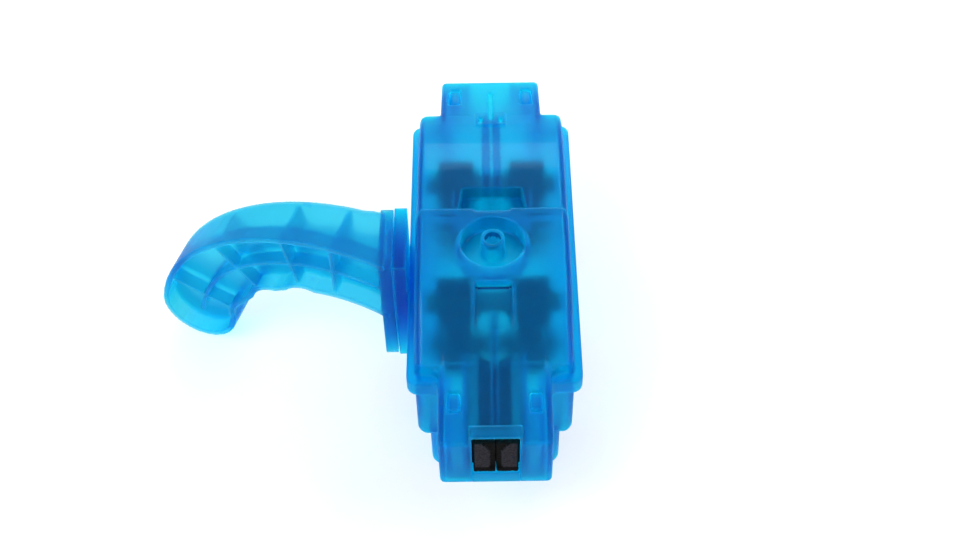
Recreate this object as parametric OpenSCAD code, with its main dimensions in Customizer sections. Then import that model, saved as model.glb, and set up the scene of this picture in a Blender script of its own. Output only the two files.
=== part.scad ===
// Bike chain cleaner: a clear two-part casing that closes over the chain, four brush rollers on
// steel axles, a pair of foam wipers in the exit snout, and a curved grip on a slide-off plate.
// The origin is the centre of the resting face. X runs across the chain, Y along it, and Z up.
// The grip is at -X, and the foam wipers are at -Y.

/* [Casing] */
// Width of the cover's rim, across the chain
rim_w = 54.4; // [52:0.1:60]
// Length of the cover's rim, along the chain
rim_l = 110; // [109:0.5:120]
// Height of the parting plane above the resting face
rim_z = 51.2; // [48:0.1:53]
// Depth of the cover's skirt below the parting plane
skirt_h = 6.1; // [4:0.1:7]
// Wall of the two mouldings
wall = 1.8; // [1.4:0.1:2]
// Plan radius of the rim's corners
corner_r = 3.5; // [3:0.25:5]
// Side gap between the cover and what it closes over
seam_gap = 0.25; // [0.15:0.05:0.35]
// How far the reservoir's long sides stand in from the rim
tub_set = 2.3; // [2.2:0.1:3.2]
// How far the lower tier's long sides stand in from the upper tier
keel_set = 3.9; // [3:0.1:4.2]
// Height of the lower tier
keel_h = 19.1; // [14:0.1:20]
// Radius round the bottom edges
foot_r = 2; // [1.5:0.25:3]

/* [Crown] */
// Ledge beside the crown, along the rim's long sides
ledge_side = 2.8; // [2.5:0.1:3.2]
// Ledge in front of the crown, at the rim's ends
ledge_end = 3.5; // [2.5:0.25:5]
// Height of the front half of the crown above the parting plane
crown_h = 18.7; // [18:0.1:22]
// Step from the front half down to the rear half
crown_step = 3.7; // [2:0.1:4]
// Radius of the front half's bend from the flat top to the slope
crown_bend_r = 30; // [20:1:34]
// Angle of the front slope
crown_slope = 32; // [28:1:36]
// Radius of the rear half's bend
rear_bend_r = 80; // [60:1:85]
// Angle of the rear slope
rear_slope = 22; // [20:1:24]
// Radius along the crown's edges
crown_edge_r = 2.2; // [1.6:0.1:2.6]

/* [Snouts] */
// Width of the chain snouts
snout_w = 34.6; // [33:0.1:38]
// Reach of a snout past the rim
snout_reach = 22; // [18:0.5:26]
// Height of the snout's front face
snout_drop = 22.3; // [20:0.1:24]
// Height of the front snout's root above the parting plane
snout_rise = 4.5; // [3.5:0.25:6]
// Width of the chain opening
opening_w = 14.5; // [12:0.5:16]
// Height of the sill above the snout's foot
sill_rise = 6.3; // [4.5:0.1:7]
// Height of the lip over the front opening
lip_h = 3.6; // [3:0.1:4]
// Width of a snap window
snap_w = 4; // [3:0.25:5]
// Length of a front snap window
snap_l = 6.2; // [5:0.1:8]
// Length of a rear snap window
rear_snap_l = 11; // [8:0.1:13]

/* [Filling well] */
// Diameter of the well
well_d = 20.3; // [16:0.1:22]
// Depth of the well
well_depth = 6.4; // [4:0.1:6.8]
// Diameter of the filling nozzle
nozzle_d = 7.5; // [7:0.1:9]
// Bore of the filling nozzle
nozzle_bore_d = 5.2; // [4:0.1:5.6]
// Height of the nozzle above the flat top
nozzle_stand = 1.6; // [0.5:0.1:3]

/* [Rollers] */
// Diameter of an axle
axle_d = 3; // [2.5:0.1:3.4]
// Running clearance of a hub on its axle, on the radius
run_gap = 0.06; // [0.04:0.01:0.09]
// Clearance between the upper brushes and the filling well
brush_clear = 0.5; // [0.3:0.1:1.5]
// Clearance between the upper and the lower brushes
brush_nip = 3.6; // [2:0.2:5]
// Pitch of the bicycle chain
chain_pitch = 12.7; // [12.7:0.1:12.8]
// Roller diameter of the bicycle chain
chain_roller_d = 7.75; // [7.6:0.05:7.9]
// Teeth on a drive wheel
wheel_teeth = 6; // [6:1:6]
// Thickness of a drive wheel
wheel_t = 2.2; // [1.8:0.1:2.3]
// Diameter of a hub core
core_d = 7; // [6:0.1:7.4]
// Bare end of a hub beyond its bristle block
hub_end = 2.6; // [2:0.1:4]
// Thickness of a bristle
bristle_d = 0.6; // [0.4:0.05:0.7]

/* [Foam wipers] */
// Width of the two foam pads together
foam_w = 17; // [15:0.5:18]
// Clearance between the foam pads and the drive wheel
foam_clear = 1.8; // [1:0.1:4]
// Gap between the pads
foam_slit = 1.2; // [0.8:0.1:4]

/* [Grip] */
// Radius of the grip's middle line
grip_r = 49.5; // [46:0.5:52]
// Radius of the grip's middle line near the plate
grip_root_r = 60; // [52:0.5:70]
// Height of the grip's band
grip_h = 25; // [22:0.2:26]
// Depth of the grip at its root
grip_root_t = 18.7; // [17:0.1:20]
// Depth of the grip at its tip
grip_tip_t = 12.8; // [11:0.2:14]
// Turn of the grip away from square to the plate
grip_yaw = 19; // [12:1:20]
// Wall of the grip's channel
grip_wall = 2; // [1.6:0.1:2.4]
// Width of the grip's plate
plate_w = 25.5; // [24:0.5:28]
// Height of the grip's plate
plate_h = 45.2; // [40:0.2:48]
// Thickness of the grip's plate
plate_t = 4.2; // [4:0.1:6]
// Sliding gap of the grip's plate on its rail
slide_gap = 0.3; // [0.2:0.05:0.4]

/* [Hidden] */
$fn = 48;
HULL_FN = 24;
clear_blue = [0, 0.45, 0.85, 0.6];
over = 1; // overrun of every cut
seat_gap = 0.05; // gap between the cover's ledge and the reservoir's top edge
axle_fit = 0.05; // how much thinner an axle is than its sockets
fine_wall = 1.2;
fine_gap = 0.3;

// Casing
tub_w = rim_w - 2 * tub_set;
tub_l = rim_l - 2 * (wall + seam_gap);
keel_end = 0.5;
keel_w = tub_w - 2 * keel_set;
keel_l = tub_l - 2 * keel_end;

// Crown
crown_w = rim_w - 2 * ledge_side;
crown_l = rim_l - 2 * ledge_end;
crown_inner_r = 0.8;
crown_steps = 5;
well_wall = 1.6;
well_share = 0.134; // place of the well, as a share of the crown's length
well_y = -well_share * crown_l;
nozzle_floor_z = crown_h - well_depth;
pocket_w = 22.8;
pocket_far_w = 19.4;
pocket_l = 11.7;
pocket_depth = 5.5;
notch_w = 11.2;
notch_r = 1.2;
scoop_w = 11.4;
scoop_share = 0.28; // place of the scoop, as a share of the crown's length
scoop_back = scoop_share * crown_l;
scoop_depth = 4.6;
scoop_l = 13.3;
slit_h = 0.7;
roof_rib_t = 2;
roof_rib_drop = 2.6;
roof_rib_split = 1.6;
web_r = 3;
rim_web_r = 1.5;
rear_rib_drop = 3.6;
rear_drop = 6.3; // how far the rear slope comes down
rear_h = crown_h - crown_step;
rear_rise = rear_h - rear_drop;
foot_l = 6; // run of the curve that eases the front slope into the snout's roof
// Each half of the crown: height of its top, radius of its bend, angle and end height of its slope
front_half = [crown_h, crown_bend_r, crown_slope, snout_rise];
rear_half = [rear_h, rear_bend_r, rear_slope, rear_rise];
saddle_w = 10.2;
saddle_l = 8.4;
saddle_rise = 0.8;
saddle_window_x = 3.4;
saddle_window_w = 1.4;
saddle_window_l = 3.6;
saddle_window_in = 4.8;
keyway_w = 1.7;
keyway_deep = 0.9;
keyway_in = 5;
keyway_l = 21.5;
mark_x = 16.2;
mark_share = 0.118; // place of the round marks, as a share of the crown's length
mark_r = 3.5;
slope_mark_x = 10.7;
slope_mark_share = 0.427; // place of the marks on the slope, as a share of the crown's length
slope_mark_r = 4.6;
mark_depth = 0.5;

// Snouts
snout_edge_r = 1.6;
front_y = rim_l / 2 + snout_reach;
trough_w = snout_w - 2 * (wall + seam_gap);
trough_drop = 4;
trough_top = rim_z - trough_drop;
trough_front = front_y - wall - fine_gap;
sill_z = rim_z - snout_drop + sill_rise;
lip_l = 4.5;
lip_edge = 0.8;
snap_out = 8;
snap_bevel = 0.8;
hook_w = 2.9;
hook_l = 3;
hook_sink = 0.5;
snap_x = trough_w / 2 - wall - hook_w / 2 + hook_sink;
rear_snap_out = 10;
post_w = 2.4;
// Each end: turned to -Y or not, height of the snout's root, place and length of its snap windows,
// and height of the lip over its opening
end_list = [[1, snout_rise, snap_out, snap_l, lip_h], [0, rear_rise, rear_snap_out, rear_snap_l, 0]];
rail_inner_w = foam_w + 2 * fine_gap;

// Rollers
axle_r = axle_d / 2;
hub_bore_r = axle_r + run_gap;
core_r = core_d / 2;
chain_drop = 8;
chain_z = rim_z - chain_drop;
wheel_pitch_r = chain_pitch / (2 * sin(180 / wheel_teeth));
wheel_tip = 1.8;
wheel_flank_r = 6.2;
wheel_flank_out = 3.7;
wheel_r = wheel_pitch_r + wheel_tip;
roller_share = 0.236; // place of the axles, as a share of the reservoir's length
roller_y = roller_share * tub_l;
lower_z = chain_z - wheel_pitch_r;
upper_rise = 1.8;
upper_z = rim_z + upper_rise;
upper_brush_d = 2 * (nozzle_floor_z - well_wall - upper_rise - brush_clear);
lower_brush_d = 2 * (upper_z - lower_z - brush_nip) - upper_brush_d;
boss_r = 3.2;
boss_l = 1.3;
socket_l = 0.8;
axle_l = tub_w - 2 * wall + 2 * socket_l - 2 * seam_gap;
boss_face = crown_w / 2 - wall - boss_l;
hub_l = 2 * (boss_face - fine_gap);
spool_flange_r = 5.2;
spool_flange_t = 1.2;
brush_x = 5.5;
brush_l = hub_l / 2 - brush_x - hub_end;
sleeve_t = 1.1;
sleeve_fit = 0.03;
bristle_rows = 4;
bristles_round = 12;
bristle_root = 0.3;

// Foam
foam_y = -(trough_front - wall - fine_gap);
foam_l = -foam_y - roller_y - wheel_r - foam_clear;
foam_z = sill_z - wall + fine_gap;
foam_drop = 2.8;
foam_top = rim_z - foam_drop;
foam_r = 1.6;
foam_funnel_w = 4.6;
foam_funnel_h = 7.5;

// Grip
rail_w = 11;
rail_neck_w = 6;
rail_neck_t = 0.9;
rail_head_t = 1.3;
rail_stop = 2;
bracket_gap = 0.3;
bracket_t = 4.1;
bracket_x = rim_w / 2 + bracket_gap;
bracket_w = plate_w;
plate_z = 19;
bracket_z = plate_z;
bracket_h = plate_h;
rail_h = bracket_h - rail_stop;
plate_x = bracket_x + bracket_t + slide_gap;
plate_y = -7.25;
plate_r = 1.5;
plate_out = plate_x + plate_t;
grip_centre_s = 20.5;
grip_centre_z = 5.5;
grip_near_y = plate_y - plate_w / 2;
grip_tip_angle = 11;
grip_tip_out = 2;
grip_join = 70; // angle where the two arcs of the middle line meet
grip_end = 116; // angle where the second arc ends, inside the plate
grip_steps = 12;
grip_centre = [grip_centre_s, grip_centre_z];
grip_root_centre = grip_centre + (grip_r - grip_root_r) * [cos(grip_join), sin(grip_join)];
grip_flare_t = 3;
grip_flare_l = 12;
grip_rib_t = 1.4;
grip_web_t = 1.8;
grip_web_from = 5.5; // depth of the grip's near cells
grip_rib_drop = 0.8;
grip_rib_angles = [22, 51, 77];
groove_r = 9;
groove_depth = 1.5;
groove_list = [[0, 24], [0, 52], [1, 75]]; // which arc, and the angle on it
window_drop = 7.6;
window_h = 7;
window_l = 20;

// A block with round corners and a round bottom edge, as one convex form
module soft_block(w, l, h, r, edge) {
    hull()
        for (sx = [-1, 1], sy = [-1, 1], a = [0, 45, 90])
            translate([sx * (w / 2 - r), sy * (l / 2 - r), edge * (1 - sin(a))])
                cylinder(r = r - edge * (1 - cos(a)), h = h - edge * (1 - sin(a)), $fn = HULL_FN);
}

// A flat outline with round corners
module round_rect(w, l, r) {
    square([w - 2 * r, l], center = true);
    square([w, l - 2 * r], center = true);
    for (sx = [-1, 1], sy = [-1, 1])
        translate([sx * (w / 2 - r), sy * (l / 2 - r)])
            circle(r);
}

// Where the flat top of a crown half ends
function bend_y(c) = crown_l / 2 - c[1] * sin(c[2])
    - (c[0] - c[3] - c[1] * (1 - cos(c[2]))) / tan(c[2]);

// Points on a crown half's side profile, set inwards by d: the bend, then the foot of the slope
function crown_line(c, d) = concat(
    [for (i = [0:crown_steps])
        let (a = c[2] * i / crown_steps, r = c[1] - d)
            [bend_y(c) + r * sin(a), c[0] - c[1] + r * cos(a)]],
    [[crown_l / 2 - d, c[3] + d * (tan(c[2]) - 1 / cos(c[2]))]]);

// The same with the flat top before it and the snout's roof after it
function roof_line(c, d) = concat([[0, c[0] - d]], crown_line(c, d), [[front_y, -d]]);

function back(points) = [for (i = [len(points) - 1:-1:0]) points[i]];

// Heights over the parting plane: the snout's roof, the front slope, and a half's bend
function roof_z(y, rise) = (front_y - y) * rise / (front_y - crown_l / 2);
function slope_z(y) = snout_rise + (crown_l / 2 - y) * tan(crown_slope);
function bend_z(c, y) = c[0] - c[1] + sqrt(pow(c[1], 2) - pow(y - bend_y(c), 2));

// One half of the crown as a convex form, set inwards by t, with edges of radius e: the side
// profile at three depths, each drawn across as much wider as it is set in
module crown_half(c, t, e, start, foot) {
    hull()
        for (a = [0, 45, 90]) {
            d = e * (1 - cos(a));
            rotate([90, 0, 90])
                linear_extrude(height = crown_w - 2 * t - 2 * e * (1 - sin(a)), center = true)
                    polygon(concat([[start + d, -foot], [start + d, c[0] - t - d]],
                                   crown_line(c, t + d), [[crown_l / 2 - t - d, -foot]]));
        }
}

// Both snouts as one long convex form, square below
module snout_bar() {
    e = snout_edge_r;
    hull()
        for (sx = [-1, 1], end = end_list)
            mirror([0, end[0], 0])
                translate([sx * (snout_w / 2 - e), 0, 0]) {
                    translate([0, front_y - e, e - snout_drop])
                        sphere(e, $fn = HULL_FN);
                    translate([0, front_y - e, roof_z(front_y - e, end[1]) - e])
                        sphere(e, $fn = HULL_FN);
                    translate([0, crown_l / 2, end[1] - e])
                        sphere(e, $fn = HULL_FN);
                }
}

// The space inside one snout, as a side profile drawn across it
module snout_space(rise) {
    far = front_y - wall;
    root = crown_l / 2 - 2 * wall;
    lining = wall * sqrt(1 + pow(rise / (front_y - crown_l / 2), 2));
    rotate([90, 0, 90])
        linear_extrude(height = snout_w - 2 * wall, center = true)
            polygon([[root, -snout_drop - over], [far, -snout_drop - over],
                     [far, roof_z(far, rise) - lining], [crown_l / 2, rise - lining],
                     [root, rise - lining]]);
}

// Repeats its children at both ends of the casing
module both_ends() {
    for (turn = [0, 1])
        mirror([0, turn, 0])
            children();
}

// Box centred on the chain line across X, from a lower corner height
module bar(w, l, h) {
    translate([-w / 2, 0, 0])
        cube([w, l, h]);
}

// A rib under the roof, which follows a half's side profile
module roof_rib(c, width, drop, from, to) {
    intersection() {
        rotate([90, 0, 90])
            linear_extrude(height = width, center = true)
                polygon(concat(roof_line(c, wall / 2), back(roof_line(c, wall + drop))));
        translate([0, from, -crown_h])
            bar(width + over, to - from, 2 * crown_h);
    }
}

// Fillets between a snout's sides and a wall across them
module web(y, r, from, to) {
    for (sx = [-1, 1])
        scale([sx, 1, 1])
            translate([snout_w / 2, y, from])
                linear_extrude(height = to - from)
                    difference() {
                        translate([-wall / 2, -wall / 2])
                            square(r + wall / 2);
                        translate([r, r])
                            circle(r);
                    }
}

// Eases the front slope into the snout's roof
module crown_foot() {
    flat = atan(snout_rise / (front_y - crown_l / 2));
    r = foot_l / tan((crown_slope - flat) / 2);
    cy = crown_l / 2 - foot_l * cos(crown_slope) + r * sin(crown_slope);
    cz = snout_rise + foot_l * sin(crown_slope) + r * cos(crown_slope);
    mirror([0, 1, 0])
        rotate([90, 0, 90])
            linear_extrude(height = snout_w - 2 * snout_edge_r, center = true)
                polygon(concat([for (i = [0:crown_steps])
                    let (a = crown_slope + (flat - crown_slope) * i / crown_steps)
                        [cy - r * sin(a), cz - r * cos(a)]], [[crown_l / 2, snout_rise - wall / 2]]));
}

// The raised saddle at the foot of the rear slope
module saddle() {
    intersection() {
        rotate([90, 0, 90])
            linear_extrude(height = saddle_w, center = true)
                polygon(concat(crown_line(rear_half, -saddle_rise),
                               [[crown_l / 2 + saddle_rise, 0], [bend_y(rear_half), 0]]));
        translate([0, crown_l / 2 - saddle_l, 0])
            bar(saddle_w + over, saddle_l + saddle_rise, crown_h);
    }
}

module cover_outside() {
    mirror([0, 1, 0])
        crown_half(front_half, 0, crown_edge_r, 0, wall);
    crown_half(rear_half, 0, crown_edge_r, -wall, wall);
    mirror([0, 0, 1])
        soft_block(rim_w, rim_l, skirt_h, corner_r, crown_inner_r);
    snout_bar();
    crown_foot();
    saddle();
    for (end = end_list)
        mirror([0, end[0], 0]) {
            web(crown_l / 2, web_r, -wall / 2, end[1] - snout_edge_r);
            web(rim_l / 2, rim_web_r, -skirt_h, 0);
        }
    translate([0, -front_y, -lip_edge])
        bar(opening_w + 2 * lip_edge, lip_l, lip_h + lip_edge);
}

module cover_inside() {
    mirror([0, 1, 0])
        crown_half(front_half, wall, crown_inner_r, wall, wall + over);
    crown_half(rear_half, wall, crown_inner_r, -2 * wall, wall + over);
    translate([0, 0, -snout_drop - over])
        linear_extrude(height = snout_drop + over - wall)
            round_rect(tub_w + 2 * seam_gap, tub_l + 2 * seam_gap, corner_r);
    for (end = end_list)
        mirror([0, end[0], 0]) {
            snout_space(end[1]);
            translate([0, front_y - wall - over, -snout_drop - over])
                bar(opening_w, wall + 2 * over, snout_drop + over + end[4] - fine_wall);
        }
    translate([0, -front_y - over, -2 * wall])
        bar(opening_w, lip_l - lip_edge + over, lip_h - fine_wall + 2 * wall);
}

// The ramp, the sides and the slit's lintel of the vent scoop
module scoop_skin() {
    end_y = scoop_back + scoop_l;
    deep = crown_h - scoop_depth;
    lip_top = bend_z(front_half, scoop_back) - wall / 2;
    mirror([0, 1, 0])
        rotate([90, 0, 90])
            linear_extrude(height = scoop_w + 2 * fine_wall, center = true) {
                polygon([[scoop_back, deep - fine_wall],
                         [end_y + fine_wall, slope_z(end_y) - 2 * fine_wall],
                         [end_y + fine_wall, slope_z(end_y + fine_wall) - wall / 2],
                         [scoop_back, lip_top]]);
                polygon([[scoop_back - fine_wall, deep + slit_h], [scoop_back, deep + slit_h],
                         [scoop_back, lip_top], [scoop_back - fine_wall, lip_top]]);
            }
}

// Skins that hang under the roof and line the recesses in it
module recess_skins() {
    translate([0, well_y, nozzle_floor_z - well_wall])
        cylinder(d = well_d + 2 * well_wall, h = well_depth + well_wall - wall / 2);
    translate([0, -wall, rear_h - pocket_depth - fine_wall])
        bar(pocket_w + 2 * fine_wall, pocket_l + wall + fine_gap + fine_wall,
            pocket_depth + fine_wall - wall / 2);
    scoop_skin();
}

module roof_ribs() {
    mirror([0, 1, 0])
        roof_rib(front_half, roof_rib_t, roof_rib_drop, scoop_back + scoop_l / 2, front_y - lip_l);
    for (sx = [-1, 1])
        translate([sx * (roof_rib_split + roof_rib_t) / 2, 0, 0])
            roof_rib(rear_half, roof_rib_t, rear_rib_drop, pocket_l, crown_l / 2);
}

// The filling well, the pocket behind the ridge, the vent scoop, the windows and the marks
module cover_recesses() {
    translate([0, well_y, nozzle_floor_z])
        difference() {
            cylinder(d = well_d, h = well_depth + over);
            cylinder(d = nozzle_d, h = well_depth + over);
        }
    translate([0, well_y, nozzle_floor_z - well_wall - over])
        cylinder(d = nozzle_bore_d, h = well_depth + well_wall + nozzle_stand + 2 * over);
    translate([0, 0, rear_h - pocket_depth])
        linear_extrude(height = pocket_depth + crown_step)
            polygon([[-pocket_w / 2, fine_gap], [pocket_w / 2, fine_gap],
                     [pocket_far_w / 2, pocket_l + fine_gap], [-pocket_far_w / 2, pocket_l + fine_gap]]);
    translate([0, 0, crown_h])
        rotate([0, 90, 0])
            cylinder(r = notch_r, h = notch_w, center = true);
    scoop_cut();
    snap_windows();
    for (sx = [-1, 1])
        translate([sx * saddle_window_x, crown_l / 2 - saddle_window_in, 0])
            translate([-saddle_window_w / 2, -saddle_window_l / 2, 0])
                cube([saddle_window_w, saddle_window_l, crown_h]);
    keyway();
    ejector_marks();
}

module snap_windows() {
    for (sx = [-1, 1], end = end_list)
        mirror([0, end[0], 0])
            translate([sx * snap_x, rim_l / 2 + end[2], 0]) {
                translate([-snap_w / 2, -end[3] / 2, -wall])
                    cube([snap_w, end[3], end[1] + 2 * wall]);
                translate([0, end[3] / 2, roof_z(rim_l / 2 + end[2] + end[3] / 2, end[1])])
                    rotate([45, 0, 0])
                        cube([snap_w, 2 * snap_bevel, 2 * snap_bevel], center = true);
            }
}

// A groove along the rear snout's roof, through the saddle
module keyway() {
    intersection() {
        rotate([90, 0, 90])
            linear_extrude(height = keyway_w, center = true)
                polygon(concat(roof_line(rear_half, -2 * saddle_rise),
                               back(roof_line(rear_half, keyway_deep))));
        translate([0, crown_l / 2 - keyway_in, -crown_h])
            bar(keyway_w + over, keyway_l, 2 * crown_h);
    }
}

// Round marks that the mould's pins leave in the inside of the roof
module ejector_marks() {
    for (sx = [-1, 1]) {
        translate([sx * mark_x, -mark_share * crown_l, crown_h - wall - fine_gap])
            cylinder(r = mark_r, h = mark_depth + fine_gap);
        translate([sx * slope_mark_x, -slope_mark_share * crown_l, slope_z(slope_mark_share * crown_l)])
            rotate([crown_slope, 0, 0])
                translate([0, 0, -wall - fine_gap])
                    cylinder(r = slope_mark_r, h = mark_depth + fine_gap);
    }
}

// A ramp cut into the front slope, deepest at a thin slit under the flat top's edge
module scoop_cut() {
    top = crown_h + over;
    deep = crown_h - scoop_depth;
    end_y = scoop_back + scoop_l;
    end_z = slope_z(end_y);
    mirror([0, 1, 0])
        rotate([90, 0, 90])
            linear_extrude(height = scoop_w, center = true)
                polygon([[scoop_back, top], [scoop_back, deep],
                         [end_y + over, end_z - over * (deep - end_z) / scoop_l], [end_y + over, top]]);
    translate([0, -scoop_back - over, deep])
        bar(scoop_w, 3 * fine_wall + over, slit_h);
}

// Sockets for an axle on the two side walls
module axle_bosses() {
    for (sx = [-1, 1])
        scale([sx, 1, 1])
            translate([boss_face, 0, 0])
                rotate([0, 90, 0])
                    cylinder(r = boss_r, h = boss_l + wall / 2);
}

module axle_sockets() {
    rotate([0, 90, 0])
        cylinder(d = axle_d, h = axle_l, center = true);
}

module cover_shell() {
    color(clear_blue)
        translate([0, 0, rim_z])
            difference() {
                union() {
                    difference() {
                        cover_outside();
                        cover_inside();
                    }
                    recess_skins();
                    roof_ribs();
                    translate([0, well_y, nozzle_floor_z - well_wall / 2])
                        cylinder(d = nozzle_d, h = well_depth + well_wall / 2 + nozzle_stand);
                    for (sy = [-1, 1])
                        translate([0, sy * roller_y, upper_z - rim_z])
                            axle_bosses();
                }
                cover_recesses();
                for (sy = [-1, 1])
                    translate([0, sy * roller_y, upper_z - rim_z])
                        axle_sockets();
            }
}

module reservoir_outside() {
    top = rim_z - wall - seat_gap;
    translate([0, 0, keel_h])
        soft_block(tub_w, tub_l, top - keel_h, corner_r, foot_r);
    soft_block(keel_w, keel_l, keel_h + foot_r, corner_r, foot_r);
    both_ends()
        translate([0, tub_l / 2 - wall, rim_z - snout_drop])
            bar(trough_w, trough_front - tub_l / 2 + wall, trough_top - rim_z + snout_drop);
    // the sill that closes the foot of the cover's opening
    both_ends()
        translate([0, trough_front - over, rim_z - snout_drop])
            bar(opening_w - 2 * seam_gap, front_y - trough_front + over, sill_rise);
}

module reservoir_inside() {
    translate([0, 0, keel_h + wall])
        soft_block(tub_w - 2 * wall, tub_l - 2 * wall, rim_z, corner_r - wall / 2, foot_r / 2);
    translate([0, 0, wall])
        soft_block(keel_w - 2 * wall, keel_l - 2 * wall, keel_h + wall, corner_r - wall / 2, foot_r / 2);
    both_ends() {
        translate([0, tub_l / 2 - wall - over, sill_z - wall])
            bar(trough_w - 2 * wall, trough_front - tub_l / 2 + over, rim_z);
        translate([0, tub_l / 2, rim_z - snout_drop + wall])
            bar(trough_w - 2 * wall, trough_front - tub_l / 2 - wall, rim_z);
        translate([0, trough_front - wall - over, sill_z])
            bar(trough_w - 2 * wall, wall + 2 * over, rim_z);
    }
}

// The two walls and the floor that hold the foam wipers
module wiper_box() {
    floor_z = sill_z - wall;
    run = foam_l + 2 * fine_gap;
    translate([0, foam_y - fine_gap, floor_z - fine_wall])
        bar(rail_inner_w + 2 * fine_wall, run, fine_wall);
    for (sx = [-1, 1])
        scale([sx, 1, 1])
            translate([rail_inner_w / 2, foam_y - fine_gap, floor_z - fine_wall])
                cube([fine_wall, run, trough_top - floor_z + fine_wall]);
}

// Snap hooks that stand in the snout's windows
module snap_hooks() {
    for (sx = [-1, 1], end = end_list)
        mirror([0, end[0], 0])
            translate([sx * snap_x, rim_l / 2 + end[2], trough_top])
                linear_extrude(height = rim_z + roof_z(rim_l / 2 + end[2] + hook_l / 2, end[1])
                                        - trough_top - fine_gap)
                    square([hook_w, hook_l], center = true);
}

// Posts beside the sill, behind the edges of the cover's opening
module mouth_posts() {
    both_ends()
        for (sx = [-1, 1])
            scale([sx, 1, 1])
                translate([opening_w / 2, trough_front - wall, sill_z - over])
                    cube([post_w, wall, trough_top - sill_z + over]);
}

// The bracket outside the cover's rim, with the rail that the grip's plate slides on
module grip_bracket() {
    translate([-bracket_x - bracket_t, plate_y - bracket_w / 2, bracket_z]) {
        cube([bracket_t, bracket_w, bracket_h]);
        cube([bracket_x + bracket_t - tub_w / 2 + wall / 2, bracket_w,
              rim_z - skirt_h - bracket_z - fine_gap]);
    }
    translate([-bracket_x - bracket_t - rail_neck_t - rail_head_t, plate_y, bracket_z]) {
        translate([0, -rail_w / 2, 0])
            cube([rail_head_t, rail_w, rail_h]);
        translate([0, -rail_neck_w / 2, 0])
            cube([rail_head_t + rail_neck_t + over, rail_neck_w, rail_h]);
    }
}

module reservoir_shell() {
    color(clear_blue)
        difference() {
            union() {
                difference() {
                    union() {
                        reservoir_outside();
                        grip_bracket();
                    }
                    reservoir_inside();
                }
                wiper_box();
                snap_hooks();
                mouth_posts();
                for (sy = [-1, 1])
                    translate([0, sy * roller_y, lower_z])
                        axle_bosses();
            }
            for (sy = [-1, 1])
                translate([0, sy * roller_y, lower_z])
                    axle_sockets();
        }
}

// Points off the middle line of the grip's two arcs, tip first, moved out by widen at the tip
function turned(a) = [cos(a), sin(a)];
function grip_line(off, widen) = concat(
    [for (i = [0:grip_steps])
        let (share = i / grip_steps, a = grip_tip_angle + share * (grip_join - grip_tip_angle))
            grip_centre + (grip_r + off + widen * (1 + cos(180 * share)) / 2) * turned(a)],
    [for (i = [1:grip_steps])
        let (a = grip_join + i / grip_steps * (grip_end - grip_join))
            grip_root_centre + (grip_root_r + off) * turned(a)]);

// A strip along the grip, from lo to hi off its middle line
module grip_strip(lo, hi) {
    polygon(concat(grip_line(lo, 0), back(grip_line(hi, 0))));
}

// The grip's side outline, set inwards by d: its two arcs and a round tip
module grip_outline(d) {
    tip_r = (grip_h + grip_tip_out) / 2 - d;
    tip = grip_centre + (grip_r + grip_tip_out / 2) * turned(grip_tip_angle);
    difference() {
        polygon(concat(back(grip_line(d - grip_h / 2, 0)),
                       [for (i = [1:grip_steps - 1])
                           tip + tip_r * turned(grip_tip_angle + 180 + 180 * i / grip_steps)],
                       grip_line(grip_h / 2 - d, grip_tip_out)));
        finger_grooves(d);
    }
}

module finger_grooves(d) {
    for (groove = groove_list) {
        root = groove[0] == 1;
        translate(root ? grip_root_centre : grip_centre)
            rotate(groove[1])
                translate([(root ? grip_root_r : grip_r) - grip_h / 2 + groove_depth - groove_r, 0])
                    circle(groove_r + d);
    }
}

// Ribs of the grip's channel: one along its middle, one across at each angle, and the window's
module grip_ribs() {
    intersection() {
        grip_outline(grip_wall / 2);
        union() {
            grip_strip(-grip_rib_t / 2, grip_rib_t / 2);
            for (angle = grip_rib_angles)
                translate(grip_centre)
                    rotate(angle)
                        translate([grip_r - grip_h, -grip_rib_t / 2])
                            square([2 * grip_h, grip_rib_t]);
            translate([window_l - plate_t, 0])
                square([grip_rib_t, 2 * grip_root_r]);
        }
    }
}

// The window through the grip's web, between its last rib and the plate
module grip_window() {
    intersection() {
        grip_strip(-window_drop, window_h - window_drop);
        translate([-plate_t, 0])
            square([window_l, 2 * grip_root_r]);
    }
}

// Carries a flat drawing of the grip's side to its place, t deep from the near face and up to down
module on_grip(from, t) {
    translate([-plate_out, grip_near_y, 0])
        rotate([0, 0, 180 - grip_yaw])
            rotate([90, 0, 0])
                translate([0, 0, from])
                    linear_extrude(height = t)
                        children();
}

module grip_band() {
    difference() {
        union() {
            difference() {
                on_grip(0, grip_root_t + grip_flare_t)
                    grip_outline(0);
                on_grip(-over, grip_web_from + over)
                    grip_outline(grip_wall);
                on_grip(grip_web_from + grip_web_t, 2 * grip_root_t)
                    grip_outline(grip_wall);
            }
            on_grip(grip_rib_drop, grip_root_t + grip_flare_t - grip_rib_drop)
                grip_ribs();
        }
        on_grip(grip_web_from - over, grip_web_t + 2 * over)
            grip_window();
        grip_taper();
        // the root ends inside the plate
        translate([grip_wall - plate_out, -2 * grip_r, -grip_h])
            cube([4 * grip_r, 4 * grip_r, 4 * grip_r]);
    }
}

// Takes the far side of the grip in towards its tip, with a flare at the plate
module grip_taper() {
    far = 2 * grip_r;
    translate([-plate_out, grip_near_y, -grip_h])
        rotate([0, 0, 180 - grip_yaw])
            linear_extrude(height = 4 * grip_r)
                polygon([[-grip_flare_l, -grip_root_t - 2 * grip_flare_t], [grip_flare_l, -grip_root_t],
                         [far, -grip_tip_t], [far, -3 * grip_root_t], [-grip_flare_l, -3 * grip_root_t]]);
}

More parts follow.
